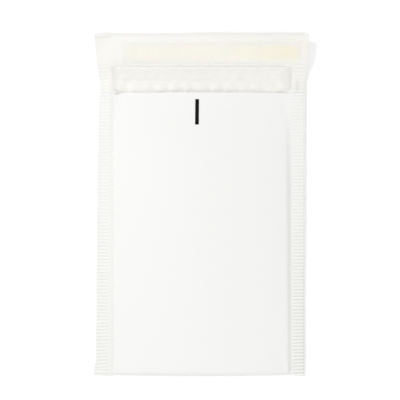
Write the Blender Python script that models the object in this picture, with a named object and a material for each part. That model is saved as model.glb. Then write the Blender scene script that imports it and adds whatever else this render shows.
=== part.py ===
"""A small padded envelope, lying on its back with the mouth open a little and the flap not yet folded down.

One sheet of white paper is folded up at the bottom, so that it makes the back, the front and the flap.
A sheet of bubble film lies inside it and is folded with it. Both long sides are crimped shut in ribs.
The flap carries a strip of adhesive under a release liner, and the front a plain printed mark.

X runs across the envelope, Y from the bottom fold towards the flap, and Z up from the table.
Lengths are in metres. Past the mouth, a distance is measured along the sheet and not along Y.
"""

import math

import bmesh
import bpy

# The pocket and its crimped sides
WIDTH = 0.150
POCKET_LENGTH = 0.203
POCKET_GAP = 0.0054
SEAM_WIDTH = 0.0113
SEAM_HEIGHT = 0.0026
SEAM_THICKNESS = 0.0013
SHOULDER = 0.009
RIB_PITCH = 0.0024
RIB_RISE = 0.0005
CRIMP_SETBACK = 0.0003

# The sheets
PAPER = 0.0003
FILM = 0.0020
LAYER_GAP = 0.0003
SEALED_GAP = 0.0001
FLAP_INSET = 0.0003
FILM_MARGIN = 0.002
FILM_EDGE_GAP = 0.0006
FILM_SETBACK = 0.0005

# The strip behind the mouth and the bare flap past it, as flat lengths
LINED_LENGTH = 0.020
BARE_LENGTH = 0.0262
BEND_START = 0.012
BEND_RADIUS = 0.012
FLAP_ANGLE = math.radians(27)

# The bubbles that show behind the mouth
BUBBLE_PITCH = 0.010
BUBBLE_WIDTH = 0.0084
BUBBLE_RISE = 0.0010
BUBBLE_MARGIN = 0.0012
BUBBLE_ROOT = 0.0004
BUBBLE_SIDES = 8
BUBBLE_SHOULDER_WIDTH = 0.84
BUBBLE_SHOULDER_RISE = 0.55
BUBBLE_TOP_WIDTH = 0.45

# The closing strip on the flap's inner face
ADHESIVE_THICKNESS = 0.0002
ADHESIVE_WIDTH = 0.0128
ADHESIVE_LENGTH = 0.118
ADHESIVE_FROM_LINING = 0.0042
ADHESIVE_OFFSET = 0.0025
LINER_THICKNESS = 0.00015
LINER_OVERHANG = 0.0026

# The printed mark on the front
MARK_WIDTH = 0.0028
MARK_LENGTH = 0.0184
MARK_OFFSET = -0.003
MARK_FROM_MOUTH = 0.0042
MARK_THICKNESS = 0.0001

# How finely the curves are cut
SHOULDER_STEPS = 5
FOLD_STEPS = 8
BEND_STEPS = 4

# What follows from the sizes above
PADDED_HEIGHT = POCKET_GAP + 2 * (FILM + LAYER_GAP + PAPER)
FOLD_ROUND = PADDED_HEIGHT / 2
SEAM_INNER = WIDTH / 2 - SEAM_WIDTH
FLAT_HALF = SEAM_INNER - SHOULDER
PLY_SPREAD = PAPER + SEALED_GAP / 2
SEAM_TOP = SEAM_HEIGHT + PLY_SPREAD
SEAM_BOTTOM = SEAM_HEIGHT - PLY_SPREAD
FILM_DEPTH = PAPER + LAYER_GAP
FLAP_LENGTH = LINED_LENGTH + BARE_LENGTH
BEND_LENGTH = BEND_RADIUS * FLAP_ANGLE


def clear_scene():
    for thing in list(bpy.data.objects):
        bpy.data.objects.remove(thing, do_unlink=True)


def plain_material(name, colour, roughness):
    material = bpy.data.materials.new(name)
    material.use_nodes = True
    shader = material.node_tree.nodes["Principled BSDF"]
    shader.inputs["Base Color"].default_value = (*colour, 1.0)
    shader.inputs["Roughness"].default_value = roughness
    shader.inputs["Metallic"].default_value = 0.0
    return material


def shoulder_share(x):
    """0 on the flat of the panels, 1 where they meet in the seam."""
    return min(max((abs(x) - FLAT_HALF) / SHOULDER, 0.0), 1.0)


def slope_length(fall, share):
    """Length of the shoulder for one unit across, which keeps a layer as thick on the slope as on the flat."""
    slope = 2 * fall * share / SHOULDER if share < 1 else 0.0
    return math.hypot(1.0, slope)


def front_height(x, depth):
    """Height of the face that lies this deep inside the front panel."""
    share = shoulder_share(x)
    fall = PADDED_HEIGHT - SEAM_TOP
    return PADDED_HEIGHT - fall * share**2 - depth * slope_length(fall, share)


def back_lift(x, depth, distance=0.0):
    """Height of a face of the back over the line of its underside, with the sides flattening out along the flap."""
    share = shoulder_share(x)
    bare = (distance - LINED_LENGTH) / BARE_LENGTH
    lift = SEAM_BOTTOM * (1 - max(bare, 0.0))
    return lift * share**2 + depth * slope_length(lift, share)


def back_point(distance, lift):
    """(y, z) on the back, this far along the sheet past the mouth and this far above its underside."""
    turned = min(max(distance - BEND_START, 0.0) / BEND_RADIUS, FLAP_ANGLE)
    level = min(distance, BEND_START)
    straight = max(distance - BEND_START - BEND_LENGTH, 0.0)
    radius = BEND_RADIUS - lift
    y = POCKET_LENGTH + level + radius * math.sin(turned) + straight * math.cos(turned)
    z = BEND_RADIUS - radius * math.cos(turned) + straight * math.sin(turned)
    return y, z


def back_stops(reach):
    """Distances past the mouth at which the back is cut, up to reach."""
    bend = [BEND_START + BEND_LENGTH * step / BEND_STEPS for step in range(BEND_STEPS + 1)]
    inner = [stop for stop in (*bend, LINED_LENGTH) if stop < reach]
    return [*inner, reach]


def folded_line(x, depth, extra, setback, reach):
    """One face of a folded sheet, cut lengthwise: down the front, round the bottom fold and up the back.

    depth is square to the panels and extra is straight up or down."""
    top = front_height(x, depth) - extra
    bottom = back_lift(x, depth) + extra
    middle = (top + bottom) / 2
    half = (top - bottom) / 2
    across = FOLD_ROUND - depth - extra
    line = [(POCKET_LENGTH - setback, top)]
    for step in range(FOLD_STEPS + 1):
        angle = math.pi * step / FOLD_STEPS
        line.append((FOLD_ROUND - across * math.sin(angle), middle + half * math.cos(angle)))
    for stop in back_stops(reach):
        line.append(back_point(stop, back_lift(x, depth, stop) + extra))
    return line


def columns(half_width, stations):
    """Places across the envelope, the same on both sides, out to half_width."""
    right = [x for x in stations if x < half_width] + [half_width]
    return [-x for x in reversed(right)] + right


def shoulder_stations():
    return [FLAT_HALF + SHOULDER * step / SHOULDER_STEPS for step in range(SHOULDER_STEPS + 1)]


def add_object(name, mesh_builder, material):
    """A mesh object with its faces turned outwards."""
    bmesh.ops.recalc_face_normals(mesh_builder, faces=mesh_builder.faces)
    if mesh_builder.calc_volume(signed=True) < 0:
        bmesh.ops.reverse_faces(mesh_builder, faces=mesh_builder.faces)
    mesh = bpy.data.meshes.new(name)
    mesh_builder.to_mesh(mesh)
    mesh_builder.free()
    piece = bpy.data.objects.new(name, mesh)
    bpy.context.scene.collection.objects.link(piece)
    if material:
        mesh.materials.append(material)
    return piece


def sheet_between(name, xs, outer_line, inner_line, material):
    """A closed sheet between two faces, each given as a lengthwise line of (y, z) for a place across."""
    shape = bmesh.new()
    outer = [[shape.verts.new((x, y, z)) for y, z in outer_line(x)] for x in xs]
    inner = [[shape.verts.new((x, y, z)) for y, z in inner_line(x)] for x in xs]
    last = len(outer[0]) - 1
    for here in range(len(xs) - 1):
        there = here + 1
        for row in range(last):
            for face in (outer, inner):
                shape.faces.new((face[here][row], face[there][row], face[there][row + 1], face[here][row + 1]))
        for row in (0, last):
            shape.faces.new((outer[here][row], outer[there][row], inner[there][row], inner[here][row]))
    for side in (0, len(xs) - 1):
        for row in range(last):
            shape.faces.new((outer[side][row], outer[side][row + 1], inner[side][row + 1], inner[side][row]))
    bmesh.ops.triangulate(shape, faces=shape.faces, quad_method="FIXED")
    return add_object(name, shape, material)


def join_with(piece, tool):
    """Joins a hidden tool shape to a piece as one body."""
    tool.hide_render = True
    tool.display_type = "WIRE"
    union = piece.modifiers.new(tool.name, "BOOLEAN")
    union.operation = "UNION"
    union.solver = "MANIFOLD"
    union.object = tool


def crimped_seam(name, side):
    """The ribbed side of the envelope, in which both plies and the film are pressed into one corrugated strip."""
    start = CRIMP_SETBACK - POCKET_LENGTH
    crimp_length = LINED_LENGTH - CRIMP_SETBACK - start
    ribs = round(crimp_length / RIB_PITCH)
    top = []
    bottom = []
    for step in range(2 * ribs + 1):
        distance = start + crimp_length * step / (2 * ribs)
        middle = SEAM_HEIGHT + (RIB_RISE / 2 if step % 2 else -RIB_RISE / 2)
        top.append(back_point(distance, middle + SEAM_THICKNESS / 2))
        bottom.append(back_point(distance, middle - SEAM_THICKNESS / 2))
    inner = side * (SEAM_INNER + CRIMP_SETBACK)
    outer = side * WIDTH / 2
    return sheet_between(name, [inner, outer], lambda x: top, lambda x: bottom, None)


def outer_wrap():
    """The paper: front, bottom fold, back and flap, with both crimped sides."""
    paper = plain_material("white_paper", (0.93, 0.93, 0.91), 0.7)
    xs = columns(WIDTH / 2 - FLAP_INSET, shoulder_stations())
    wrap = sheet_between(
        "outer_wrap",
        xs,
        lambda x: folded_line(x, 0.0, 0.0, 0.0, FLAP_LENGTH),
        lambda x: folded_line(x, PAPER, 0.0, 0.0, FLAP_LENGTH),
        paper,
    )
    for name, side in (("left_seam", -1), ("right_seam", 1)):
        join_with(wrap, crimped_seam(name, side))
    return wrap


def film_thickness(x):
    """The bubbles are squeezed flatter where the panels draw together towards a seam."""
    room = front_height(x, FILM_DEPTH) - back_lift(x, FILM_DEPTH)
    return min(FILM, (room - FILM_EDGE_GAP) / 2)


def add_bubble(shape, x, distance):
    """One low dome on the film's inner face, with its root sunk into the film."""
    rings = (
        (1.0, -BUBBLE_ROOT),
        (BUBBLE_SHOULDER_WIDTH, BUBBLE_SHOULDER_RISE * BUBBLE_RISE),
        (BUBBLE_TOP_WIDTH, BUBBLE_RISE),
    )
    loops = []
    for spread, rise in rings:
        loop = []
        for side in range(BUBBLE_SIDES):
            angle = 2 * math.pi * (side + 0.5) / BUBBLE_SIDES
            reach = spread * BUBBLE_WIDTH / 2
            y, z = back_point(distance + reach * math.sin(angle), FILM_DEPTH + FILM + rise)
            loop.append(shape.verts.new((x + reach * math.cos(angle), y, z)))
        loops.append(loop)
    for low, high in zip(loops, loops[1:]):
        for side in range(BUBBLE_SIDES):
            after = (side + 1) % BUBBLE_SIDES
            shape.faces.new((low[side], low[after], high[after], high[side]))
    shape.faces.new(reversed(loops[0]))
    shape.faces.new(loops[-1])


def bubble_rows():
    """The staggered bubbles between the mouth and the film's end, which show from above."""
    shape = bmesh.new()
    row_pitch = BUBBLE_PITCH * math.sqrt(3) / 2
    room = LINED_LENGTH - BUBBLE_WIDTH - 2 * BUBBLE_MARGIN
    rows = int(room / row_pitch) + 1
    spare = room - (rows - 1) * row_pitch
    for row in range(rows):
        distance = BUBBLE_MARGIN + BUBBLE_WIDTH / 2 + spare / 2 + row * row_pitch
        shift = BUBBLE_PITCH / 2 * (row % 2)
        steps = int((FLAT_HALF - BUBBLE_WIDTH / 2 - shift) / BUBBLE_PITCH)
        places = [shift + step * BUBBLE_PITCH for step in range(steps + 1)]
        for x in sorted({*places, *(-place for place in places)}):
            add_bubble(shape, x, distance)
    return add_object("bubbles", shape, None)


def bubble_lining():
    """The bubble film: folded with the paper, a little inside it, and showing behind the mouth."""
    film = plain_material("white_bubble_film", (0.90, 0.90, 0.87), 0.4)
    xs = columns(SEAM_INNER - FILM_MARGIN, shoulder_stations())
    lining = sheet_between(
        "bubble_lining",
        xs,
        lambda x: folded_line(x, FILM_DEPTH, 0.0, FILM_SETBACK, LINED_LENGTH),
        lambda x: folded_line(x, FILM_DEPTH, film_thickness(x), FILM_SETBACK, LINED_LENGTH),
        film,
    )
    join_with(lining, bubble_rows())
    return lining


def flap_strip(name, length, width, middle, low, high, material):
    """A thin strip across the flap's inner face, from low to high above its underside."""
    left = ADHESIVE_OFFSET - length / 2
    right = ADHESIVE_OFFSET + length / 2
    turns = [side * x for x in shoulder_stations() for side in (-1, 1)]
    xs = sorted({left, right, *(x for x in turns if left < x < right)})
    start = middle - width / 2

    def face(depth):
        stops = (start, start + width)
        return lambda x: [back_point(stop, back_lift(x, depth, stop)) for stop in stops]

    return sheet_between(name, xs, face(low), face(high), material)


def closing_strips():
    """The adhesive and the release liner that covers it."""
    glue = plain_material("pale_yellow_adhesive", (0.90, 0.85, 0.66), 0.45)
    liner = plain_material("release_liner_film", (0.93, 0.93, 0.90), 0.35)
    middle = LINED_LENGTH + ADHESIVE_FROM_LINING + ADHESIVE_WIDTH / 2
    low = PAPER + LAYER_GAP
    high = low + ADHESIVE_THICKNESS
    liner_low = high + LAYER_GAP
    return [
        flap_strip("adhesive_strip", ADHESIVE_LENGTH, ADHESIVE_WIDTH, middle, low, high, glue),
        flap_strip(
            "release_liner",
            ADHESIVE_LENGTH + 2 * LINER_OVERHANG,
            ADHESIVE_WIDTH + 2 * LINER_OVERHANG,
            middle,
            liner_low,
            liner_low + LINER_THICKNESS,
            liner,
        ),
    ]


def registration_mark():
    """The plain black bar printed near the mouth, which a packing machine's sensor looks for."""
    ink = plain_material("black_ink", (0.01, 0.01, 0.01), 0.6)
    low = PADDED_HEIGHT + LAYER_GAP
    high = low + MARK_THICKNESS
    end = POCKET_LENGTH - MARK_FROM_MOUTH
    xs = [MARK_OFFSET - MARK_WIDTH / 2, MARK_OFFSET + MARK_WIDTH / 2]
    return sheet_between(
        "registration_mark",
        xs,
        lambda x: [(end - MARK_LENGTH, low), (end, low)],
        lambda x: [(end - MARK_LENGTH, high), (end, high)],
        ink,
    )


def place_on_middle(pieces):
    """Puts the envelope's middle on the origin, with one empty that carries every piece."""
    far_end, _ = back_point(FLAP_LENGTH, 0.0)
    carrier = bpy.data.objects.new("padded_envelope", None)
    bpy.context.scene.collection.objects.link(carrier)
    carrier.location = (0.0, -far_end / 2, 0.0)
    for piece in pieces:
        piece.parent = carrier


def main():
    clear_scene()
    pieces = [outer_wrap(), bubble_lining(), *closing_strips(), registration_mark()]
    tools = [thing for thing in bpy.data.objects if thing.display_type == "WIRE"]
    place_on_middle([*pieces, *tools])


main()
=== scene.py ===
"""A small padded mailing envelope as it lies on a table, with its mouth a little open and its flap up,
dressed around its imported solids. Metres: X across it, Y from the bottom fold to the flap, Z up."""

import math

import bpy
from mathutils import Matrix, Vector, noise


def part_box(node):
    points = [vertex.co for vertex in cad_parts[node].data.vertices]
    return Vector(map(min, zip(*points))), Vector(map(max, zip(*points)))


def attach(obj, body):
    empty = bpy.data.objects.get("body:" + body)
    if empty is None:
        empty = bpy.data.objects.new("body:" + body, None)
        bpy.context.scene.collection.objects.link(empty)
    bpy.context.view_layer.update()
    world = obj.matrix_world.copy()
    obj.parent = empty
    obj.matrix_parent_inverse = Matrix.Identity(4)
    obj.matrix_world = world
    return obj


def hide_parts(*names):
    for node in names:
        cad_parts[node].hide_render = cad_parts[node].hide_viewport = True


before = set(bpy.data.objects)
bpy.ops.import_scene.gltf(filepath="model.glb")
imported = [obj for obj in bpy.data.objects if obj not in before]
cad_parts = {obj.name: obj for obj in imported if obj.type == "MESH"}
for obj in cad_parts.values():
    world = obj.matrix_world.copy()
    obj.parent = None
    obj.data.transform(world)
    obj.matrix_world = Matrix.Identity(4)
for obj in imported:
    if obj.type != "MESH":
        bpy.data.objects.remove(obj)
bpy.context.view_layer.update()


# Outer wrap
# One long sheet of white paper, folded up at the bottom so that it is the back, the front and the flap.
# Toothed rollers crimp both long sides shut over the bubble film, in fine ribs across the seams.

wrap_low, wrap_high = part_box("outer_wrap")
HALF_WIDTH = wrap_high.x
FOLD_Y = wrap_low.y
POCKET_LENGTH = 0.203
MOUTH_Y = FOLD_Y + POCKET_LENGTH
PAPER = 0.00025
PADDED_HEIGHT = 0.0106
FOLD_ROUND = PADDED_HEIGHT / 2
PANEL_LENGTH = MOUTH_Y - FOLD_Y - FOLD_ROUND
FOLD_LENGTH = math.pi * FOLD_ROUND
FLAP_LENGTH = 0.0443
FLAP_RUN = 2 * PANEL_LENGTH + FOLD_LENGTH
SHEET_LENGTH = FLAP_RUN + FLAP_LENGTH
LINED_LENGTH = 0.0200
LINED_Y = MOUTH_Y + LINED_LENGTH


def ease(value, start, end):
    """0 before start and 1 after end, with a smooth rise between."""
    share = min(max((value - start) / (end - start), 0.0), 1.0)
    return share * share * (3 - 2 * share)


def swell(value, middle, reach):
    """1 at the middle, fading to nothing at about twice reach away from it."""
    return math.exp(-(((value - middle) / reach) ** 2))


def ripple(x, y, size, layer):
    """Smooth noise from about -1 to 1, with blotches of about that size. Each layer is another pattern."""
    return noise.noise(Vector((x / size, y / size, layer)))


def follow(points, value):
    """The height at value of a line that runs smoothly through the points."""
    for (start, low), (end, high) in zip(points, points[1:]):
        if value <= end:
            return low + (high - low) * ease(value, start, end)
    return points[-1][1]


def side_of(x):
    """0 on the left and 1 on the right, to pick from a pair of values for the two sides."""
    return 0 if x < 0 else 1


def lowness(y):
    """1 at the bottom fold, falling to 0 at the mouth."""
    return 1 - ease(y, FOLD_Y, MOUTH_Y)


# The pillow's form: shoulders beside the seams, a crown from side to side and a droop at the mouth.
SEAM_WIDTH = 0.0113
SEAM_INNER = HALF_WIDTH - SEAM_WIDTH
SEAM_TOP = 0.00295
SEAM_BOTTOM = 0.00225
SEAM_RISES = (-0.0009, 0.0002)
LIFT_FADE = 0.010
SHOULDER = 0.0042
UPPER_SHOULDER = 0.0011
UPPER_FROM = -0.10
UPPER_TO = 0.05
MOUTH_SHOULDER = 0.0050
MOUTH_REACH = 0.026
SHOULDER_START = SEAM_INNER - 0.0100
SHOULDER_END = SEAM_INNER + 0.0017
NARROWING = 0.0026
NARROWING_REACH = 0.020
CROWN = 0.0053
MOUTH_DROOP = 0.0056
DROOP_REACH = 0.041
SAG = 0.00022
SAG_SIZE = 0.045
FOLD_SINK = 1.9


def shoulder_width(y):
    """The shoulder beside the seam is steepest at the bottom and gentle at the mouth."""
    upper = UPPER_SHOULDER * ease(y, UPPER_FROM, UPPER_TO)
    return SHOULDER + upper + MOUTH_SHOULDER * ease(y, MOUTH_Y - MOUTH_REACH, MOUTH_Y)


def shoulder_share(x, y):
    """0 on the flat of the panel, rising to 1 at the seam."""
    width = shoulder_width(y)
    end = SHOULDER_END - NARROWING * ease(y, MOUTH_Y - NARROWING_REACH, MOUTH_Y)
    return min(max((abs(x) - end + width) / width, 0.0), 1.0)


def stretch_of(fall, share, y):
    """How much longer than level the paper is where it falls away over the shoulder."""
    slope = 6 * fall * share * (1 - share) / shoulder_width(y)
    return math.hypot(1.0, slope)


def front_height(x, y, depth):
    """The height of the front, depth below its outer face: a soft pillow that droops at its mouth."""
    share = shoulder_share(x, y)
    droop = MOUTH_DROOP * swell(y, MOUTH_Y, DROOP_REACH)
    crown = CROWN * (x / SEAM_INNER) ** 2 * (1 - droop / PADDED_HEIGHT)
    sag = SAG * ripple(x, y, SAG_SIZE, 1.3)
    top = PADDED_HEIGHT - droop - crown + sag * (1 - share)
    fall = top - SEAM_TOP
    return top - fall * ease(share, 0.0, 1.0) - depth * stretch_of(fall, share, y)


def back_lift(x, y, depth):
    """The height of the back, depth above its outer face: flat on the table and lifted at its seams."""
    share = shoulder_share(x, y)
    lift = SEAM_BOTTOM * (1 - ease(y, MOUTH_Y, LINED_Y + LIFT_FADE))
    return lift * share ** 2 + depth * stretch_of(lift, share, y)


# The flap's rise from the table, as tilts in degrees at distances from the mouth, down to its bent rim.
FLAP_STEP = 0.0002
FLAP_TILTS = [(0.0, 0), (0.006, 0), (0.013, 26), (0.021, 33), (0.026, 20), (0.034, 15), (0.0384, 8),
              (0.0404, -2), (0.0417, -27), (0.0443, -36)]


def flap_profile():
    """Points along the flap from the mouth: y, z and tilt, added up in short steps."""
    y = MOUTH_Y
    z = 0.0
    points = []
    for step in range(round(FLAP_LENGTH / FLAP_STEP) + 1):
        tilt = math.radians(follow(FLAP_TILTS, step * FLAP_STEP))
        points.append((y, z, tilt))
        y += FLAP_STEP * math.cos(tilt)
        z += FLAP_STEP * math.sin(tilt)
    return points


FLAP_POINTS = flap_profile()


def flap_point(distance, lift):
    """A point that far past the mouth along the flap, lift above its outer face."""
    place = min(max(distance / FLAP_STEP, 0.0), len(FLAP_POINTS) - 1.001)
    first = FLAP_POINTS[int(place)]
    second = FLAP_POINTS[int(place) + 1]
    part = place - int(place)
    y, z, tilt = (a + (b - a) * part for a, b in zip(first, second))
    return y - lift * math.sin(tilt), z + lift * math.cos(tilt)


# The crimps. Pairs are for the left and the right seam: the right one is pressed harder.
RIB_PITCH = 0.0024
RIB_START = 0.0655
RIB_STARTS = (RIB_START + 0.0007, RIB_START - 0.0007)
RIB_FADE = 0.0012
RIB_END_FADE = 0.001
RIB_SLANTS = (-0.10, 0.04)
SLANT_FROM = 0.06
SLANT_TO = 0.12
CRIMP_DEPTHS = (0.00011, 0.00013)
CRIMP_DEPTHS_LOW = (0.00011, 0.00017)
CRIMP_UNEVEN = 0.25
CRIMP_UNEVEN_SIZE = 0.009
CRIMP_LAYERS = (7.7, 4.1)
CRIMP_SECOND_WAVE = 0.22


def past_lining(y):
    """0 where there is film between the papers, 1 on the bare flap, where nothing is crimped."""
    return ease(y, LINED_Y - RIB_END_FADE, LINED_Y + RIB_END_FADE)


def rib_share(x, y):
    """1 where the ribs are pressed in, 0 elsewhere."""
    start = RIB_STARTS[side_of(x)]
    return ease(abs(x), start, start + RIB_FADE) * (1 - past_lining(y))


def rib_turn(x, y):
    """How far a point is through its rib, in radians from the crest. The lowest ribs slant a little."""
    slant = RIB_SLANTS[side_of(x)] * ease(-y, SLANT_FROM, SLANT_TO)
    return 2 * math.pi * (y - slant * (abs(x) - RIB_START)) / RIB_PITCH


def crimp(x, y):
    """The rise of the crimped ribs. They are pressed deeper towards the bottom and on the right."""
    side = side_of(x)
    deep = CRIMP_DEPTHS[side] + CRIMP_DEPTHS_LOW[side] * lowness(y)
    deep *= 1 + CRIMP_UNEVEN * ripple(0, y, CRIMP_UNEVEN_SIZE, CRIMP_LAYERS[side])
    turn = rib_turn(x, y)
    return deep * rib_share(x, y) * (math.cos(turn) - CRIMP_SECOND_WAVE * math.cos(2 * turn))


GATHER_RISE = 0.00017
GATHER_REACH = 0.0012
GATHER_UNEVEN = 0.8
GATHER_SIZE = 0.006


def gathers(x, y):
    """Little puckers where the ribs end and the padding starts."""
    ring = swell(abs(x), SEAM_INNER, GATHER_REACH)
    depth = GATHER_RISE * (1 + GATHER_UNEVEN * ripple(x, y, GATHER_SIZE, 9.2))
    return depth * ring * math.cos(2 * math.pi * y / RIB_PITCH)


# How far the two long edges stray to the right at places along y.
LEFT_EDGE = [(-0.123, -0.0023), (-0.118, -0.0019), (-0.111, -0.0007), (-0.07, -0.0004), (0.0, 0.0002),
             (0.073, 0.0012), (0.08, 0.0021), (0.088, 0.0020), (0.096, 0.0010), (0.104, 0.0003),
             (0.123, -0.0006)]
RIGHT_EDGE = [(-0.123, -0.0010), (-0.07, -0.0012), (0.0, -0.0008), (0.075, -0.0007), (0.085, -0.0002),
              (0.095, 0.0003), (0.105, 0.0009), (0.123, 0.0011)]
RIB_SCALLOP = 0.00012
TREMBLE = 0.00018
TREMBLE_SIZE = 0.012


def edge_line(x, y):
    """How far the long outer edge strays from straight, with the ribs' scallops in it."""
    side = ease(abs(x), SEAM_INNER, HALF_WIDTH)
    strays = follow(LEFT_EDGE, y) if x < 0 else follow(RIGHT_EDGE, y)
    scallop = math.copysign(RIB_SCALLOP, x) * math.cos(2 * math.pi * y / RIB_PITCH)
    scallop *= 1 - past_lining(y)
    return side * (strays + scallop + TREMBLE * ripple(x, y, TREMBLE_SIZE, 2.6))


# The panel's faint relief. A roller line is its x and the ys of its two ends.
BUBBLE_PITCH = 0.0100
PRINT_ROW = 0.00866
PRINT_RISE = 0.000018
BOTTOM_CREASE_Y = FOLD_Y + 0.0046
BOTTOM_CREASE_REACH = 0.0010
BOTTOM_CREASE_DEPTH = 0.00018
ROLLER_LINES = [(-0.0360, -0.014, 0.032), (0.0088, 0.008, 0.054), (0.0014, -0.059, 0.009),
                (-0.0325, -0.061, -0.037)]
ROLLER_DEPTH = 0.00006
ROLLER_REACH = 0.0008
ROLLER_FADE = 0.01
DENT_DEPTH = 0.00045
DENT_FOLDS = 6
RIGHT_DENT_TURN = 0.6
DENT_START = (0.001, 0.008)
DENT_END = (0.010, 0.030)


def corner_dents(x, y):
    """Soft dents that fan out over the padding from the two bottom corners, where it can't lie flat."""
    across = SEAM_INNER - abs(x)
    up = y - FOLD_Y
    away = math.hypot(across, up)
    fan = math.cos(DENT_FOLDS * math.atan2(up, across) + (RIGHT_DENT_TURN if x > 0 else 0.0))
    ring = ease(away, *DENT_START) * (1 - ease(away, *DENT_END))
    return -DENT_DEPTH * (0.5 + 0.5 * fan) * ring


def front_relief(x, y):
    """The panel's faint marks: the bubbles' print, the rollers' lines and the crease above the fold."""
    flat = 1 - shoulder_share(x, y)
    shift = 0.5 * (math.floor(y / PRINT_ROW) % 2)
    bubble = math.cos(2 * math.pi * (x / BUBBLE_PITCH + shift)) * math.cos(math.pi * y / PRINT_ROW)
    rise = PRINT_RISE * bubble * flat
    rise -= BOTTOM_CREASE_DEPTH * swell(y, BOTTOM_CREASE_Y, BOTTOM_CREASE_REACH) * flat
    for line_x, line_low, line_high in ROLLER_LINES:
        along = ease(y, line_low, line_low + ROLLER_FADE)
        along *= 1 - ease(y, line_high - ROLLER_FADE, line_high)
        rise -= ROLLER_DEPTH * swell(x, line_x, ROLLER_REACH) * along
    return rise + corner_dents(x, y) * flat


# The dips in the mouth's cut edge, as x, depth and reach.
MOUTH_DIPS = [(-0.0615, 0.0014, 0.0036), (0.0620, 0.0004, 0.0030)]
MOUTH_UNEVEN = 0.00022
MOUTH_UNEVEN_SIZE = 0.02


def mouth_line(x):
    """How far the cut edge of the mouth lies from straight: it dips where the front meets its seams."""
    dip = sum(depth * swell(x, middle, reach) for middle, depth, reach in MOUTH_DIPS)
    return MOUTH_UNEVEN * ripple(x, 0, MOUTH_UNEVEN_SIZE, 5.4) - dip


# A span is the two xs, or distances from the middle line, between which a form grows or fades away.
BUCKLE = 0.0005
BUCKLE_SIZE = 0.03
BUCKLE_FULL = 0.032
FINE_BUCKLE = 0.00045
FINE_BUCKLE_SIZE = 0.014
FINE_BUCKLE_SPAN = (-0.02, 0.05)
SCORE_DEPTH = 0.00025
SCORE_DISTANCE = LINED_LENGTH + 0.0006
SCORE_REACH = 0.0008
SCORE_END_SPAN = (0.060, 0.064)
CORNER_RISES = (0.0016, 0.0007)
CORNER_SLANTS = (0.9, 1.4)
CORNER_SPANS = ((0.058, 0.074), (0.066, 0.075))
RIM_START = 0.0395
RIM_FALL = 0.0005
RIM_SPAN = (-0.02, 0.06)


def flap_relief(x, distance):
    """The flap's soft buckles, its scored fold, its bent left and right corners and its rim."""
    buckle = BUCKLE * ripple(x, distance, BUCKLE_SIZE, 3.1)
    buckle += FINE_BUCKLE * ripple(x, distance, FINE_BUCKLE_SIZE, 6.6) * ease(x, *FINE_BUCKLE_SPAN)
    rise = buckle * ease(distance, LINED_LENGTH, BUCKLE_FULL)
    score = swell(distance, SCORE_DISTANCE, SCORE_REACH) * (1 - ease(abs(x), *SCORE_END_SPAN))
    rise -= SCORE_DEPTH * score
    side = side_of(x)
    from_corner = abs(x) - CORNER_SLANTS[side] * (FLAP_LENGTH - distance)
    rise += CORNER_RISES[side] * ease(from_corner, *CORNER_SPANS[side])
    return rise - RIM_FALL * ease(distance, RIM_START, FLAP_LENGTH) * ease(-x, *RIM_SPAN)


CREASE_DEPTH = 0.00025
SEAM_CREASES = (0.0686, 0.0705, 0.0729)
SEAM_CREASE_DISTANCE = 0.0045
SEAM_CREASE_REACH = 0.0050
CREASE_WIDTH = 0.0005
BEND_FROM_END = 0.0038
BEND_SLANT = 0.10
BEND_WIDTH = 0.0006
BEND_SPAN = (0.0615, 0.0650)


def creases(x, distance):
    """Three short creases in the right seam beside the mouth, and a bend across the flap's left corner."""
    along = swell(distance, SEAM_CREASE_DISTANCE, SEAM_CREASE_REACH)
    marks = along * sum(swell(x, middle, CREASE_WIDTH) for middle in SEAM_CREASES)
    bend_distance = FLAP_LENGTH - BEND_FROM_END + BEND_SLANT * (-x - SEAM_INNER)
    marks += swell(distance, bend_distance, BEND_WIDTH) * ease(-x, *BEND_SPAN)
    return -CREASE_DEPTH * marks


# Where the flap's cut end strays from straight: its corners are drawn in, it is a little longer over
# one stretch on the right, and it has a shallow hollow on the left.
END_UNEVEN = 0.0004
END_UNEVEN_SIZE = 0.018
LEFT_CORNER_CUT = 0.0022
LEFT_CORNER_SPAN = (0.061, 0.075)
RIGHT_CORNER_CUT = 0.0026
RIGHT_CORNER_SPAN = (0.0705, 0.0752)
LONGER_STRETCH = 0.0009
LONGER_START_SPAN = (0.040, 0.046)
LONGER_END_SPAN = (0.061, 0.066)
END_HOLLOW = 0.0006
END_HOLLOW_X = -0.036
END_HOLLOW_REACH = 0.008


def end_line(x):
    """How much further along the sheet the flap's cut end draws its points, so that the end is uneven."""
    reach = END_UNEVEN * ripple(x, 0, END_UNEVEN_SIZE, 8.5)
    reach -= LEFT_CORNER_CUT * ease(-x, *LEFT_CORNER_SPAN)
    reach += LONGER_STRETCH * ease(x, *LONGER_START_SPAN) * (1 - ease(x, *LONGER_END_SPAN))
    reach -= END_HOLLOW * swell(x, END_HOLLOW_X, END_HOLLOW_REACH)
    return reach - RIGHT_CORNER_CUT * ease(x, *RIGHT_CORNER_SPAN)


MOUTH_LINE_FADE = 0.02
GATHER_FADE = 0.004
END_LINE_START = 0.030


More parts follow.
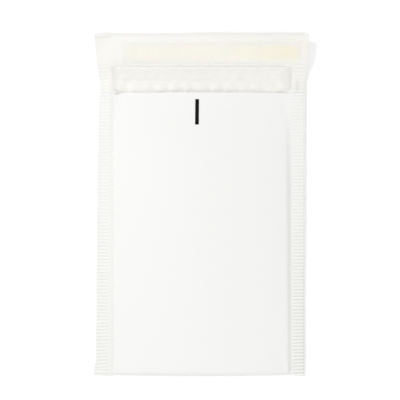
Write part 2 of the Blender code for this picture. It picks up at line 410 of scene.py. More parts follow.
def wrap_point(x, run, depth=0.0):
    """Where a point of the sheet lies. x goes across it, run along it from the front's cut edge down the
    front, round the fold, up the back and out to the flap's end, and depth is below its outer face."""
    past_fold = run - PANEL_LENGTH
    past_mouth = run - FLAP_RUN
    if past_fold <= 0:
        y = MOUTH_Y - run
        z = front_height(x, y, depth) + front_relief(x, y)
        shown_y = y + mouth_line(x) * (1 - ease(run, 0.0, MOUTH_LINE_FADE))
    elif past_mouth <= -PANEL_LENGTH:
        turn = math.pi * past_fold / FOLD_LENGTH
        level = FOLD_Y + FOLD_ROUND
        top = front_height(x, level, depth) + front_relief(x, level) * (1 - turn / math.pi)
        bottom = back_lift(x, level, depth)
        y = level - (FOLD_ROUND - depth) * math.sin(turn)
        z = bottom + (top - bottom) * ((1 + math.cos(turn)) / 2) ** FOLD_SINK
        shown_y = y
    elif past_mouth <= 0:
        y = MOUTH_Y + past_mouth
        z = back_lift(x, y, depth)
        shown_y = y
    else:
        distance = past_mouth + end_line(x) * ease(past_mouth, END_LINE_START, FLAP_LENGTH)
        lift = back_lift(x, MOUTH_Y + distance, depth) + flap_relief(x, distance) + creases(x, distance)
        y, z = flap_point(distance, lift)
        shown_y = y
    z += crimp(x, y) + gathers(x, y) * (1 - ease(y, MOUTH_Y - GATHER_FADE, MOUTH_Y))
    rise = SEAM_RISES[side_of(x)]
    z += rise * ease(abs(x), SEAM_INNER, HALF_WIDTH) * (1 - ease(y, MOUTH_Y, MOUTH_Y + FLAP_LENGTH))
    return Vector((x + edge_line(x, y), shown_y, z))


# Painted shade on the outer paper's seams and creases: how dark it is at the mouth, and how much more at
# the bottom.
PAINTED_SHADE_TOP = (0.24, 0.20)
PAINTED_SHADE_LOW = (0.35, 0.58)
VALLEY_SHARPNESS = 2.6
LEFT_LINE_PAINTED_SHADE = 0.22
LEFT_LINE_X = SEAM_INNER + 0.0008
LEFT_LINE_REACH = 0.0016
RIGHT_RIM_PAINTED_SHADE = 0.14
RIGHT_RIM_PAINTED_SHADE_LOW = 0.26
RIGHT_RIM_WIDTH = 0.0017
BOTTOM_CREASE_PAINTED_SHADE = 0.12
CREASE_PAINTED_SHADE = 0.4


def painted_shade(x, run):
    """How much painted shade the paper gets there, from 0 to 1: darker in the ribs' valleys, in the
    creases, along the plain line beside the left ribs and along the right rim, and most on the right and
    at the bottom."""
    y = wrap_point(x, run).y
    side = side_of(x)
    strength = PAINTED_SHADE_TOP[side] + PAINTED_SHADE_LOW[side] * lowness(y)
    valley = (0.5 - 0.5 * math.cos(rib_turn(x, y))) ** VALLEY_SHARPNESS
    painted_shade_amount = strength * valley * rib_share(x, y)
    if x < 0:
        painted_shade_amount += LEFT_LINE_PAINTED_SHADE * swell(-x, LEFT_LINE_X, LEFT_LINE_REACH) * (1 - ease(y, MOUTH_Y, LINED_Y))
    rim = RIGHT_RIM_PAINTED_SHADE + RIGHT_RIM_PAINTED_SHADE_LOW * lowness(y)
    painted_shade_amount += rim * ease(x, HALF_WIDTH - RIGHT_RIM_WIDTH, HALF_WIDTH)
    if run < PANEL_LENGTH:
        bottom_crease = swell(y, BOTTOM_CREASE_Y, BOTTOM_CREASE_REACH) * (1 - rib_share(x, y))
        painted_shade_amount += BOTTOM_CREASE_PAINTED_SHADE * bottom_crease
    if run > FLAP_RUN:
        painted_shade_amount -= CREASE_PAINTED_SHADE * creases(x, run - FLAP_RUN) / CREASE_DEPTH
    return painted_shade_amount


# Where the flap is yellowed: fully from the first distance past the mouth, fading out over the second
# stretch, and growing from one x to the other.
YELLOWED_FULL = 0.030
YELLOWED_FADE = (0.037, 0.041)
YELLOWED_SPAN = (-0.05, 0.06)


def yellowed(x, run):
    """Where the flap has taken up a little of its glue: more of it towards the right end of the strip."""
    distance = run - FLAP_RUN
    along = ease(distance, LINED_LENGTH, YELLOWED_FULL) * (1 - ease(distance, *YELLOWED_FADE))
    return along * ease(x, *YELLOWED_SPAN)


def spread(points):
    """Stations along a line from a list of (end, wanted spacing) stretches, the first from its start."""
    start = points[0]
    stations = [start]
    for end, spacing in points[1:]:
        steps = max(1, round((end - start) / spacing))
        stations += [start + (end - start) * (step + 1) / steps for step in range(steps)]
        start = end
    return stations


ROW = RIB_PITCH / 2
FINE_ROWS = 3
GROOVE_INNER = SEAM_INNER - 0.0010
GROOVE_SPACING = 0.0007
SEAM_SPACING = 0.0016
SHOULDER_SPACING = 0.0010
PANEL_SPACING = 0.0026
PANEL_EDGE = SHOULDER_START - 0.001


def wrap_columns():
    """Columns of the sheet: the left seam, the panel between the seams, and the right seam."""
    seam = spread([GROOVE_INNER, (RIB_START, GROOVE_SPACING), (HALF_WIDTH, SEAM_SPACING)])
    middle = spread([-GROOVE_INNER, (-PANEL_EDGE, SHOULDER_SPACING), (PANEL_EDGE, PANEL_SPACING),
                     (GROOVE_INNER, SHOULDER_SPACING)])
    left = [-x for x in reversed(seam)]
    return left, middle, seam


def wrap_sheet():
    """The sheet as a mesh. Its seams have three rows for each row of the panel between, for the ribs."""
    left, middle, right = wrap_columns()
    row_count = round(SHEET_LENGTH / ROW)
    fine_count = row_count * FINE_ROWS
    runs = [SHEET_LENGTH * row / fine_count for row in range(fine_count + 1)]
    vertices = []
    flat_places = []
    faces = []

    def add_rows(columns, step):
        start = len(vertices)
        for run in runs[::step]:
            for x in columns:
                vertices.append(wrap_point(x, run))
                flat_places.append((x, run))
        return start

    left_start = add_rows(left, 1)
    right_start = add_rows(right, 1)
    middle_start = add_rows(middle[1:-1], FINE_ROWS)
    seam_wide = len(left)
    middle_wide = len(middle) - 2
    for start in (left_start, right_start):
        for row in range(fine_count):
            for column in range(seam_wide - 1):
                corner = start + row * seam_wide + column
                faces.append((corner, corner + seam_wide, corner + seam_wide + 1, corner + 1))
    for row in range(row_count):
        corner = middle_start + row * middle_wide
        for column in range(middle_wide - 1):
            here = corner + column
            faces.append((here, here + middle_wide, here + middle_wide + 1, here + 1))
        joint_rows = range(row * FINE_ROWS, (row + 1) * FINE_ROWS + 1)
        left_joint = [left_start + fine * seam_wide + seam_wide - 1 for fine in joint_rows]
        right_joint = [right_start + fine * seam_wide for fine in joint_rows]
        faces.append((*left_joint, corner + middle_wide, corner))
        last = corner + middle_wide - 1
        faces.append((*reversed(right_joint), last, last + middle_wide))
    return vertices, faces, flat_places


def mark_points(piece, name, values):
    """Gives each point of the piece's mesh a number that its material can read."""
    marks = piece.data.attributes.new(name=name, type="FLOAT", domain="POINT")
    for mark, value in zip(marks.data, values):
        mark.value = value


def mesh_piece(name, vertices, faces, flat_places):
    """A new piece from its mesh, with a UV map of where each point lies on the flat sheet, in metres."""
    mesh = bpy.data.meshes.new(name)
    mesh.from_pydata(vertices, [], faces)
    uv_map = mesh.uv_layers.new(name="flat_sheet")
    for loop in mesh.loops:
        uv_map.data[loop.index].uv = flat_places[loop.vertex_index]
    piece = bpy.data.objects.new(name, mesh)
    bpy.context.collection.objects.link(piece)
    for polygon in mesh.polygons:
        polygon.use_smooth = True
    return piece


def pick(piece):
    """Selects the piece alone."""
    bpy.ops.object.select_all(action="DESELECT")
    bpy.context.view_layer.objects.active = piece
    piece.select_set(True)


SHEET_CRISP_ANGLE = math.radians(40)


def thicken(piece, thickness, offset, **settings):
    """Gives a sheet its thickness, and keeps its cut edges crisp."""
    pick(piece)
    modifier = piece.modifiers.new("Thickness", "SOLIDIFY")
    modifier.thickness = thickness
    modifier.offset = offset
    for setting, value in settings.items():
        setattr(modifier, setting, value)
    bpy.ops.object.modifier_apply(modifier=modifier.name)
    bpy.ops.object.shade_smooth_by_angle(angle=SHEET_CRISP_ANGLE)


def new_group(name, inputs, outputs):
    """A shader node group with named inputs and outputs."""
    group = bpy.data.node_groups.new(name, "ShaderNodeTree")
    for socket, kind, value in inputs:
        made = group.interface.new_socket(socket, in_out="INPUT", socket_type=kind)
        if value is not None:
            made.default_value = value
    for socket, kind in outputs:
        group.interface.new_socket(socket, in_out="OUTPUT", socket_type=kind)
    ins = group.nodes.new("NodeGroupInput")
    outs = group.nodes.new("NodeGroupOutput")
    return group, ins, outs


def add_node(tree, kind, values=None, **settings):
    """Adds a shader node, sets its properties and its input values, and returns it."""
    node = tree.nodes.new(kind)
    for setting, value in settings.items():
        setattr(node, setting, value)
    for socket, value in (values or {}).items():
        node.inputs[socket].default_value = value
    return node


def fibre_group():
    """Paper's pulp: a cloudy formation and fine matted fibres."""
    group, ins, outs = new_group(
        "Paper fibres",
        [("Place", "NodeSocketVector", None), ("Colour", "NodeSocketColor", (1, 1, 1, 1)),
         ("Cloud", "NodeSocketFloat", 0.012)],
        [("Colour", "NodeSocketColor"), ("Height", "NodeSocketFloat")])
    cloud = add_node(group, "ShaderNodeTexNoise", {"Scale": 130.0, "Detail": 3.0})
    fibre_space = add_node(group, "ShaderNodeMapping", {"Scale": (1.0, 0.32, 1.0)})
    fibres = add_node(group, "ShaderNodeTexNoise", {"Scale": 2600.0, "Detail": 4.0, "Distortion": 1.2})
    shade = add_node(group, "ShaderNodeMath", operation="MULTIPLY_ADD")
    shade.inputs[2].default_value = 1.0
    centred = add_node(group, "ShaderNodeMath", operation="SUBTRACT")
    centred.inputs[1].default_value = 0.5
    tint = add_node(group, "ShaderNodeVectorMath", operation="SCALE")
    link = group.links.new
    link(ins.outputs["Place"], cloud.inputs["Vector"])
    link(ins.outputs["Place"], fibre_space.inputs["Vector"])
    link(fibre_space.outputs[0], fibres.inputs["Vector"])
    link(cloud.outputs[0], centred.inputs[0])
    link(centred.outputs[0], shade.inputs[0])
    link(ins.outputs["Cloud"], shade.inputs[1])
    link(ins.outputs["Colour"], tint.inputs[0])
    link(shade.outputs[0], tint.inputs["Scale"])
    link(tint.outputs[0], outs.inputs["Colour"])
    link(fibres.outputs[0], outs.inputs["Height"])
    return group


paper_fibres = fibre_group()


def new_material(name, **inputs):
    """A material with a Principled shader whose sockets are set from the given values."""
    material = bpy.data.materials.new(name)
    material.use_nodes = True
    shader = material.node_tree.nodes["Principled BSDF"]
    for socket, value in inputs.items():
        shader.inputs[socket.replace("_", " ")].default_value = value
    return material, material.node_tree, shader


OUTSIDE_WHITE = (0.940, 0.940, 0.921)
INSIDE_WHITE = (0.945, 0.938, 0.902)
OUTSIDE_CLOUD = 0.012
INSIDE_CLOUD = 0.015
# How dark the painted shade makes the paper where it is full.
PAINTED_SHADE_TINT = (0.74, 0.74, 0.72, 1.0)
YELLOWED_TINT = (0.996, 0.988, 0.962, 1.0)


def paper_material(name, colour, cloud):
    """Uncoated paper: a soft matt white with cloudy pulp and the tooth of its fibres."""
    material, tree, shader = new_material(name, Roughness=0.62, Specular_IOR_Level=0.3)
    place = add_node(tree, "ShaderNodeTexCoord")
    fibres = add_node(tree, "ShaderNodeGroup", node_tree=paper_fibres)
    fibres.inputs["Colour"].default_value = (*colour, 1.0)
    fibres.inputs["Cloud"].default_value = cloud
    tooth = add_node(tree, "ShaderNodeBump", {"Strength": 0.4, "Distance": 0.00008})
    tree.links.new(place.outputs["Object"], fibres.inputs["Place"])
    colour_now = fibres.outputs["Colour"]
    # Painted shade in the ribs' valleys, creases and rims darkens the colour, and the real glue stain
    # yellows the flap.
    for attribute, tint in (("painted_shade", PAINTED_SHADE_TINT), ("yellowed", YELLOWED_TINT)):
        mask = add_node(tree, "ShaderNodeAttribute", attribute_name=attribute)
        shade = add_node(tree, "ShaderNodeMix", data_type="RGBA", blend_type="MULTIPLY")
        shade.inputs["B"].default_value = tint
        tree.links.new(mask.outputs["Fac"], shade.inputs["Factor"])
        tree.links.new(colour_now, shade.inputs["A"])
        colour_now = shade.outputs["Result"]
    tree.links.new(colour_now, shader.inputs["Base Color"])
    tree.links.new(fibres.outputs["Height"], tooth.inputs["Height"])
    tree.links.new(tooth.outputs["Normal"], shader.inputs["Normal"])
    return material


wrap_vertices, wrap_faces, wrap_places = wrap_sheet()
wrap = mesh_piece("paper_wrap", wrap_vertices, wrap_faces, wrap_places)
# Painted shade for the seams' valleys, creases and rims, stored on the mesh for the paper's material.
mark_points(wrap, "painted_shade", [painted_shade(x, run) for x, run in wrap_places])
mark_points(wrap, "yellowed", [yellowed(x, run) for x, run in wrap_places])
wrap.data.materials.append(paper_material("White paper, outside", OUTSIDE_WHITE, OUTSIDE_CLOUD))
wrap.data.materials.append(paper_material("White paper, inside", INSIDE_WHITE, INSIDE_CLOUD))
thicken(wrap, PAPER, -1, material_offset=1, material_offset_rim=0)
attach(wrap, "root")
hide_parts("outer_wrap")


# Bubble lining
# Air bubbles sealed between two layers of thin polyethylene film. It is folded together with the paper,
# lines front and back, and shows behind the mouth, where it was cut just short of the flap.

FILM_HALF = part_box("bubble_lining")[1].x
BAND_HALF = 0.0645
BAND_SPREAD_FROM = 0.0005
BAND_SPREAD_TO = 0.004
FILM_GAP = 0.00012
FILM_INSET = 0.0006
FILM_END = FLAP_RUN + LINED_LENGTH
FILM_THIN = 0.0002
FILM_BASE = 0.0011
BAND_BASE = 0.0016
BAND_BEFORE_MOUTH = 0.012
INNER_END_RAMP = 0.0060
OUTER_END_RAMP = 0.0012
OUTER_END_EDGE = 0.0001
SIDE_RAMP_FROM = 0.0110
SIDE_RAMP_TO = 0.0008
BAND_RAMP_FROM_GAIN = 0.0020
BAND_RAMP_TO_GAIN = 0.0007
THIN_END_BASE = 0.4
THIN_END_BUBBLES = 0.35

BUBBLE_ROW = BUBBLE_PITCH * math.sqrt(3) / 2
BUBBLE_RADIUS = 0.0043
BUBBLE_RISE = 0.00040
BUBBLE_STRAY = 0.0012
BUBBLE_ROW_STRAY = 0.0005
STRAY_SIZE = 1.7
BUBBLE_UNEVEN = 0.6
UNEVEN_SIZE = 1.3
DOME_FLATNESS = 2.2
DOME_EDGE = 1.3
CRUMPLE = 0.00024
CRUMPLE_SIZE = 0.0046
FINE_CRUMPLE = 0.00012
FINE_CRUMPLE_SIZE = 0.0021
WRINKLE_DEPTH = 0.00020
WRINKLE_SIZE = 0.016
# The wrinkles across the lined strip: how far past the mouth, how wide and how deep they are.
WRINKLES = ((0.0142, 0.0010, 1.0), (0.0092, 0.0012, 0.7))


def bubble_rise(x, run):
    """The rise of the bubbles over the film's base: staggered, uneven and partly crumpled domes."""
    row = round(run / BUBBLE_ROW)
    tallest = 0.0
    for near_row in (row - 1, row, row + 1):
        offset = BUBBLE_PITCH / 2 * (near_row % 2)
        column = round((x - offset) / BUBBLE_PITCH)
        stray = BUBBLE_STRAY * ripple(column, near_row, STRAY_SIZE, 11.1)
        row_stray = BUBBLE_ROW_STRAY * ripple(column, near_row, STRAY_SIZE, 12.4)
        middle_x = column * BUBBLE_PITCH + offset + stray
        middle_run = near_row * BUBBLE_ROW + row_stray
        full = 1 + BUBBLE_UNEVEN * ripple(column, near_row, UNEVEN_SIZE, 13.7)
        away = math.hypot(x - middle_x, run - middle_run) / BUBBLE_RADIUS
        if away < 1:
            tallest = max(tallest, full * (1 - away ** DOME_FLATNESS) ** DOME_EDGE)
    crumple = CRUMPLE * ripple(x, run, CRUMPLE_SIZE, 14.2)
    crumple += FINE_CRUMPLE * ripple(x, run, FINE_CRUMPLE_SIZE, 15.8)
    past_mouth = run - FLAP_RUN
    wrinkle = sum(share * swell(past_mouth, place, reach) for place, reach, share in WRINKLES)
    crumple -= WRINKLE_DEPTH * wrinkle * (1 + ripple(x, run, WRINKLE_SIZE, 16.5))
    return BUBBLE_RISE * tallest + crumple


def film_thickness(x, run, half):
    """How thick the lining is there. It runs out thin towards the seams and at its cut ends."""
    past_mouth = ease(run, FLAP_RUN - BAND_SPREAD_FROM, FLAP_RUN + BAND_SPREAD_TO)
    ramp_start = half - SIDE_RAMP_FROM + BAND_RAMP_FROM_GAIN * past_mouth
    ramp_end = half - SIDE_RAMP_TO + BAND_RAMP_TO_GAIN * past_mouth
    side = 1 - ease(abs(x), ramp_start, ramp_end)
    ends = ease(run, FILM_INSET, FILM_INSET + INNER_END_RAMP)
    ends *= 1 - ease(run, FILM_END - OUTER_END_RAMP, FILM_END - OUTER_END_EDGE)
    base = FILM_BASE * (THIN_END_BASE + (1 - THIN_END_BASE) * ends)
    base += (BAND_BASE - FILM_BASE) * ease(run, FLAP_RUN - BAND_BEFORE_MOUTH, FLAP_RUN) * ends
    bubbles = bubble_rise(x, run) * (THIN_END_BUBBLES + (1 - THIN_END_BUBBLES) * ends)
    return FILM_THIN + (base + bubbles) * side


def film_half(run):
    """Half of the film's width: it spreads a little where no front paper holds it in."""
    spread_share = ease(run, FLAP_RUN + BAND_SPREAD_FROM, FLAP_RUN + BAND_SPREAD_TO)
    return FILM_HALF + (BAND_HALF - FILM_HALF) * spread_share


FILM_COLUMN = 0.0011
FILM_ROW = 0.0013
FINE_FILM_ROW = 0.00065
INNER_FINE_END = 0.012


def film_sheet():
    """The folded lining as one closed mesh: a plain outer face, a bubbled inner face and its edges."""
    runs = spread([FILM_INSET, (INNER_FINE_END, FINE_FILM_ROW), (PANEL_LENGTH, FILM_ROW),
                   (PANEL_LENGTH + FOLD_LENGTH, FILM_ROW), (FLAP_RUN, FILM_ROW),
                   (FILM_END, FINE_FILM_ROW)])
    shares = spread([-1.0, (1.0, FILM_COLUMN / FILM_HALF)])
    wide = len(shares)
    count = len(runs)
    vertices = []
    places = []
    for inner in (False, True):
        for run in runs:
            half = film_half(run)
            for share in shares:
                x = share * half
                depth = PAPER + FILM_GAP + (film_thickness(x, run, half) if inner else 0.0)
                vertices.append(wrap_point(x, run, depth))
                places.append((x, run))
    faces = []
    under = wide * count
    for row in range(count - 1):
        for column in range(wide - 1):
            corner = row * wide + column
            outer = (corner, corner + wide, corner + wide + 1, corner + 1)
            faces.append(outer)
            faces.append(tuple(under + index for index in reversed(outer)))
    rim = list(range(wide))
    rim += [row * wide + wide - 1 for row in range(1, count)]
    rim += [(count - 1) * wide + column for column in range(wide - 2, -1, -1)]
    rim += [row * wide for row in range(count - 2, 0, -1)]
    for here, beyond in zip(rim, rim[1:] + rim[:1]):
        faces.append((here, beyond, under + beyond, under + here))
    return vertices, faces, places


film_vertices, film_faces, film_places = film_sheet()
lining = mesh_piece("bubble_film", film_vertices, film_faces, film_places)
FILM_CRISP_ANGLE = math.radians(60)
pick(lining)
bpy.ops.object.shade_smooth_by_angle(angle=FILM_CRISP_ANGLE)


FILM_DIM = (0.938, 0.926, 0.872, 1.0)
FILM_BRIGHT = (0.953, 0.945, 0.902, 1.0)


def film_material():
    """Milky polyethylene over air: soft light inside, a satin gloss, and thin wrinkles."""
    material, tree, shader = new_material(
        "Bubble film", Roughness=0.42, Specular_IOR_Level=0.4, Subsurface_Weight=0.25,
        Subsurface_Radius=(0.002, 0.002, 0.0018), Subsurface_Scale=1.0, Coat_Weight=0.06,
        Coat_Roughness=0.3)
    place = add_node(tree, "ShaderNodeTexCoord")
    wrinkle = add_node(tree, "ShaderNodeTexNoise", {"Scale": 420.0, "Detail": 4.0, "Distortion": 2.4})
    mottle = add_node(tree, "ShaderNodeTexNoise", {"Scale": 95.0, "Detail": 2.0})
    colour = add_node(tree, "ShaderNodeMix", data_type="RGBA")
    colour.inputs["A"].default_value = FILM_DIM
    colour.inputs["B"].default_value = FILM_BRIGHT
    bump = add_node(tree, "ShaderNodeBump", {"Strength": 0.35, "Distance": 0.0004})
    link = tree.links.new
    link(place.outputs["Object"], wrinkle.inputs["Vector"])
    link(place.outputs["Object"], mottle.inputs["Vector"])
    link(mottle.outputs[0], colour.inputs["Factor"])
    link(colour.outputs["Result"], shader.inputs["Base Color"])
    link(wrinkle.outputs[0], bump.inputs["Height"])
    link(bump.outputs["Normal"], shader.inputs["Normal"])
    return material


lining.data.materials.append(film_material())
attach(lining, "root")
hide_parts("bubble_lining")


# Adhesive strip
# A band of pale yellow hot-melt glue, laid on the flap's inner face in one pass. Its edges are soft and
# a little uneven, and its colour is richer towards the right, where the nozzle stopped.

glue_low, glue_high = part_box("adhesive_strip")
GLUE_SHIFT = 0.0049
GLUE_LONGER = 0.0054
GLUE_MIDDLE = (glue_low.x + glue_high.x) / 2 + GLUE_SHIFT
GLUE_LENGTH = glue_high.x - glue_low.x + GLUE_LONGER
GLUE_GAP = 0.0029
GLUE_START = LINED_LENGTH + GLUE_GAP
GLUE_WIDTH = 0.0130
GLUE_THICKNESS = 0.00005
GLUE_CLEARANCE = 0.00003
GLUE_SPACING = 0.0009
SOFT_SIDE = 0.0030
SOFT_END = 0.0035
END_WAVE = 0.0009
END_WAVE_SIZE = 0.006
END_WAVE_LENGTH = 0.004
SIDE_WAVE = 0.0005
SIDE_WAVE_SIZE = 0.011
RICHER_FROM = 0.014
RICHER_TO = 0.061
GLUE_PATCHES = 0.6
GLUE_EDGE = (0.950, 0.940, 0.890, 1.0)
GLUE_PALE = (0.987, 0.960, 0.871, 1.0)
GLUE_RICH = (0.983, 0.932, 0.770, 1.0)


def squared_sheet(name, length, width, spacing):
    """A flat rectangle that is cut into small squares, centred on the origin."""
    bpy.ops.object.select_all(action="DESELECT")
    bpy.ops.mesh.primitive_grid_add(
        x_subdivisions=round(length / spacing), y_subdivisions=round(width / spacing), size=1)
    piece = bpy.context.active_object
    piece.name = name
    piece.data.name = name
    bpy.ops.object.mode_set(mode="EDIT")
    bpy.ops.mesh.select_all(action="SELECT")
    bpy.ops.transform.resize(value=(length, width, 1))
    bpy.ops.object.mode_set(mode="OBJECT")
    bpy.ops.object.shade_smooth()
    return piece


def glue_body(x, across):
    """How much glue lies there: all of it inside, thinning out towards the strip's edges and ends."""
    side = 1 - ease(abs(across), GLUE_WIDTH / 2 - SOFT_SIDE, GLUE_WIDTH / 2)
    end = 1 - ease(abs(x), GLUE_LENGTH / 2 - SOFT_END, GLUE_LENGTH / 2)
    return side * end


def on_flap(x, across, depth):
    """A point of the strip on the flap: x from its middle, and across from its centre line."""
    return wrap_point(GLUE_MIDDLE + x, FLAP_RUN + GLUE_START + GLUE_WIDTH / 2 + across, depth)


glue = squared_sheet("adhesive_strip_layer", GLUE_LENGTH, GLUE_WIDTH, GLUE_SPACING)
mark_points(glue, "body", [glue_body(vertex.co.x, vertex.co.y) for vertex in glue.data.vertices])
for vertex in glue.data.vertices:
    x, across, _ = vertex.co
    near_side = abs(across) / (GLUE_WIDTH / 2)
    near_end = ease(abs(x), GLUE_LENGTH / 2 - END_WAVE_LENGTH, GLUE_LENGTH / 2)
    x += END_WAVE * ripple(across, x, END_WAVE_SIZE, 21.3) * near_end
    across += SIDE_WAVE * ripple(x, across, SIDE_WAVE_SIZE, 22.8) * near_side
    vertex.co = on_flap(x, across, PAPER + GLUE_CLEARANCE)
thicken(glue, GLUE_THICKNESS, 1)


def glue_material():
    """Pale hot-melt glue: glossy, a little patchy, and richer in colour towards its right end."""
    material, tree, shader = new_material("Hot-melt glue", Roughness=0.30, Specular_IOR_Level=0.5)
    place = add_node(tree, "ShaderNodeTexCoord")
    parts = add_node(tree, "ShaderNodeSeparateXYZ")
    along = add_node(tree, "ShaderNodeMapRange", {"From Min": RICHER_FROM, "From Max": RICHER_TO})
    cloud = add_node(tree, "ShaderNodeTexNoise", {"Scale": 60.0, "Detail": 3.0})
    patchy = add_node(tree, "ShaderNodeMath", operation="MULTIPLY_ADD")
    patchy.inputs[1].default_value = GLUE_PATCHES
    shift = add_node(tree, "ShaderNodeMath", operation="SUBTRACT")
    shift.inputs[1].default_value = GLUE_PATCHES / 2
    ramp = add_node(tree, "ShaderNodeValToRGB")
    ramp.color_ramp.elements[0].color = GLUE_PALE
    ramp.color_ramp.elements[1].color = GLUE_RICH
    link = tree.links.new
    link(place.outputs["Object"], parts.inputs[0])
    link(place.outputs["Object"], cloud.inputs["Vector"])
    link(parts.outputs["X"], along.inputs["Value"])
    link(cloud.outputs[0], patchy.inputs[0])
    link(along.outputs[0], patchy.inputs[2])
    link(patchy.outputs[0], shift.inputs[0])
    body = add_node(tree, "ShaderNodeAttribute", attribute_name="body")
    colour = add_node(tree, "ShaderNodeMix", data_type="RGBA")
    colour.inputs["A"].default_value = GLUE_EDGE
    link(shift.outputs[0], ramp.inputs["Fac"])
    link(body.outputs["Fac"], colour.inputs["Factor"])
    link(ramp.outputs["Color"], colour.inputs["B"])
    link(colour.outputs["Result"], shader.inputs["Base Color"])
    return material


glue.data.materials.append(glue_material())
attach(glue, "root")
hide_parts("adhesive_strip")


# Release liner
# A strip of thin, milky silicone-coated film that covers the glue until it is peeled off. It overhangs
# the glue on every side, and one end is left loose to pull at.

LINER_OVERHANG = 0.0019
LINER_LENGTH = GLUE_LENGTH + 2 * LINER_OVERHANG
LINER_WIDTH = GLUE_WIDTH + 2 * LINER_OVERHANG
LINER_THICKNESS = 0.00004
LINER_CLEARANCE = 0.00004
OVER_GLUE = GLUE_THICKNESS + 0.00010
LINER_WAVE = 0.00002
LINER_WAVE_SIZE = 0.012
LOOSE_END = 0.007
LOOSE_RISE = 0.00015
LINER_BEND = 0.0002
FAINT_RIM = 0.0018
RIM_FAINTNESS = 0.8


def liner_body(x, across):
    """How milky the film looks there: fainter along its rim, where it lies close on the paper."""
    side = ease(abs(across), LINER_WIDTH / 2 - FAINT_RIM, LINER_WIDTH / 2)
    end = ease(abs(x), LINER_LENGTH / 2 - FAINT_RIM, LINER_LENGTH / 2)
    return 1 - RIM_FAINTNESS * max(side, end)


liner = squared_sheet("release_liner_film", LINER_LENGTH, LINER_WIDTH, GLUE_SPACING)
mark_points(liner, "body", [liner_body(vertex.co.x, vertex.co.y) for vertex in liner.data.vertices])
for vertex in liner.data.vertices:
    x, across, _ = vertex.co
    over_glue = 1 - ease(abs(across), GLUE_WIDTH / 2 + LINER_BEND, GLUE_WIDTH / 2 + LINER_OVERHANG)
    wave = LINER_WAVE * (1 + ripple(x, across, LINER_WAVE_SIZE, 31.7))
    loose = LOOSE_RISE * ease(x, LINER_LENGTH / 2 - LOOSE_END, LINER_LENGTH / 2)
    depth = PAPER + LINER_CLEARANCE + OVER_GLUE * over_glue + wave + loose
    vertex.co = on_flap(x, across, depth)
thicken(liner, LINER_THICKNESS, 1)


def liner_material():
    """Thin milky film: nearly see-through, with a smooth satin face."""
    material, tree, shader = new_material(
        "Release liner film", Roughness=0.28, Specular_IOR_Level=0.45, Base_Color=(0.97, 0.97, 0.945, 1.0))
    place = add_node(tree, "ShaderNodeTexCoord")
    cloud = add_node(tree, "ShaderNodeTexNoise", {"Scale": 80.0, "Detail": 2.0})
    milk = add_node(tree, "ShaderNodeMapRange", {"To Min": 0.08, "To Max": 0.14})
    tree.links.new(place.outputs["Object"], cloud.inputs["Vector"])
    tree.links.new(cloud.outputs[0], milk.inputs["Value"])
    body = add_node(tree, "ShaderNodeAttribute", attribute_name="body")
    clarity = add_node(tree, "ShaderNodeMath", operation="MULTIPLY")
    tree.links.new(milk.outputs[0], clarity.inputs[0])
    tree.links.new(body.outputs["Fac"], clarity.inputs[1])
    tree.links.new(clarity.outputs[0], shader.inputs["Alpha"])
    return material


liner.data.materials.append(liner_material())
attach(liner, "root")
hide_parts("release_liner")


# Printed mark
# A plain black bar of ink near the mouth, which the packing machine's sensor reads to cut and fold the
# paper in the right place. It is printed on the outside of the front.

mark_low, mark_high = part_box("registration_mark")
MARK_X = (mark_low.x + mark_high.x) / 2
MARK_Y = (mark_low.y + mark_high.y) / 2
MARK_WIDTH = 0.0027
MARK_LENGTH = 0.0184
MARK_TILT = 0.010
MARK_SHIFT = 0.0006
MARK_SPACING = 0.0003
INK_SPREAD = 0.00003
INK_SPREAD_SIZE = 0.0008
INK_CLEARANCE = 0.00002
INK_FILM = 0.00003

mark = squared_sheet("printed_bar", MARK_WIDTH, MARK_LENGTH, MARK_SPACING)
for vertex in mark.data.vertices:
    x, y, _ = vertex.co
    x += MARK_TILT * y + INK_SPREAD * ripple(x, y, INK_SPREAD_SIZE, 41.9)
    vertex.co = wrap_point(MARK_X + x, MOUTH_Y - MARK_Y + MARK_SHIFT - y, -INK_CLEARANCE)
thicken(mark, INK_FILM, 1)


def ink_material():
    """Flexographic ink: a matt black that sinks into the paper and keeps the tooth of its fibres."""
    material, tree, shader = new_material("Black ink", Roughness=0.75, Specular_IOR_Level=0.15)
    place = add_node(tree, "ShaderNodeTexCoord")
    fibres = add_node(tree, "ShaderNodeGroup", node_tree=paper_fibres)
    fibres.inputs["Colour"].default_value = (0.004, 0.004, 0.0045, 1.0)
    fibres.inputs["Cloud"].default_value = 0.4
    tooth = add_node(tree, "ShaderNodeBump", {"Strength": 0.2, "Distance": 0.00005})
    tree.links.new(place.outputs["Object"], fibres.inputs["Place"])
    tree.links.new(fibres.outputs["Colour"], shader.inputs["Base Color"])
    tree.links.new(fibres.outputs["Height"], tooth.inputs["Height"])
    tree.links.new(tooth.outputs["Normal"], shader.inputs["Normal"])
    return material


mark.data.materials.append(ink_material())
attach(mark, "root")
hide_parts("registration_mark")


# Table, light and camera
# A white table that fades to plain white away from the envelope, a soft lamp from the upper left with
# an even white room around it, and a camera straight above.

TABLE_HALF = 4.0
TABLE_WHITE = 0.92
GLOW_FROM = 0.25
GLOW_TO = 0.9
NEAR_GLOW = 0.27
ROOM_LIGHT = 0.555
LAMP_DISTANCE = 1.15
LAMP_HEADING = math.radians(146)
LAMP_HEIGHT = math.radians(52)
LAMP_SIZE = 0.32
LAMP_POWER = 4.78
FILL_DISTANCE = 1.2
FILL_HEADING = math.radians(-68)
FILL_HEIGHT = math.radians(45)
FILL_SIZE = 0.9
FILL_POWER = 3.3
CAMERA_HEIGHT = 0.473
VIEW_WIDTH = 0.2871
VIEW_HEIGHT = 0.003
VIEW_X = -0.0009
VIEW_Y = 0.0031


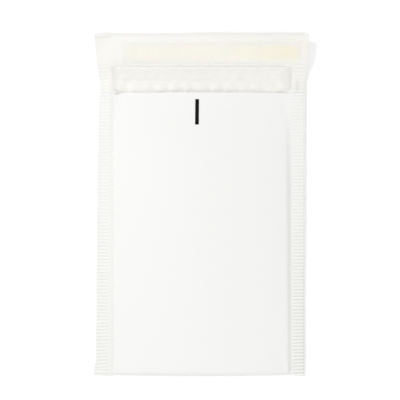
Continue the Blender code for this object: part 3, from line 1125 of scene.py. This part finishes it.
def table_material():
    """White table: it takes the envelope's soft shadow, and for the camera it glows up to plain white."""
    material, tree, shader = new_material("White table", Roughness=0.9, Specular_IOR_Level=0.0)
    shader.inputs["Base Color"].default_value = (TABLE_WHITE, TABLE_WHITE, TABLE_WHITE, 1.0)
    shader.inputs["Emission Color"].default_value = (1, 1, 1, 1)
    place = add_node(tree, "ShaderNodeTexCoord")
    away = add_node(tree, "ShaderNodeVectorMath", operation="LENGTH")
    glow = add_node(tree, "ShaderNodeMapRange",
                    {"From Min": GLOW_FROM, "From Max": GLOW_TO, "To Min": NEAR_GLOW, "To Max": 1.0})
    rays = add_node(tree, "ShaderNodeLightPath")
    seen = add_node(tree, "ShaderNodeMath", operation="MAXIMUM")
    shown = add_node(tree, "ShaderNodeMath", operation="MULTIPLY")
    link = tree.links.new
    link(place.outputs["Object"], away.inputs[0])
    link(away.outputs["Value"], glow.inputs["Value"])
    link(rays.outputs["Is Camera Ray"], seen.inputs[0])
    link(rays.outputs["Is Glossy Ray"], seen.inputs[1])
    link(seen.outputs[0], shown.inputs[0])
    link(glow.outputs[0], shown.inputs[1])
    link(shown.outputs[0], shader.inputs["Emission Strength"])
    return material


bpy.ops.object.select_all(action="DESELECT")
bpy.ops.mesh.primitive_plane_add(size=2 * TABLE_HALF, location=(0, 0, 0))
table = bpy.context.active_object
table.name = "table"
table.data.materials.append(table_material())

room = bpy.data.worlds.new("White room")
room.use_nodes = True
bpy.context.scene.world = room
room_nodes = room.node_tree
background = room_nodes.nodes["Background"]
background.inputs["Color"].default_value = (1, 1, 1, 1)
room_rays = add_node(room_nodes, "ShaderNodeLightPath")
room_shown = add_node(room_nodes, "ShaderNodeMath", operation="MAXIMUM")
room_level = add_node(room_nodes, "ShaderNodeMapRange", {"To Min": ROOM_LIGHT, "To Max": 1.0})
room_nodes.links.new(room_rays.outputs["Is Camera Ray"], room_shown.inputs[0])
room_nodes.links.new(room_rays.outputs["Is Transmission Ray"], room_shown.inputs[1])
room_nodes.links.new(room_shown.outputs[0], room_level.inputs["Value"])
room_nodes.links.new(room_level.outputs[0], background.inputs["Strength"])


def add_lamp(name, heading, height, distance, size, power):
    """A round soft lamp that points at the envelope from that heading and height."""
    level = math.cos(height)
    way = Vector((math.cos(heading) * level, math.sin(heading) * level, math.sin(height)))
    light = bpy.data.lights.new(name, "AREA")
    light.shape = "DISK"
    light.size = size
    light.energy = power
    lamp = bpy.data.objects.new(name, light)
    lamp.location = way * distance
    lamp.rotation_euler = way.to_track_quat("Z", "Y").to_euler()
    bpy.context.collection.objects.link(lamp)


add_lamp("key_lamp", LAMP_HEADING, LAMP_HEIGHT, LAMP_DISTANCE, LAMP_SIZE, LAMP_POWER)
add_lamp("fill_lamp", FILL_HEADING, FILL_HEIGHT, FILL_DISTANCE, FILL_SIZE, FILL_POWER)

camera_data = bpy.data.cameras.new("camera")
camera_data.lens = camera_data.sensor_width * (CAMERA_HEIGHT - VIEW_HEIGHT) / VIEW_WIDTH
camera_data.clip_start = 0.01
camera = bpy.data.objects.new("camera", camera_data)
camera.location = (VIEW_X, VIEW_Y, CAMERA_HEIGHT)
bpy.context.collection.objects.link(camera)
bpy.context.scene.camera = camera
bpy.context.scene.view_settings.view_transform = "Standard"
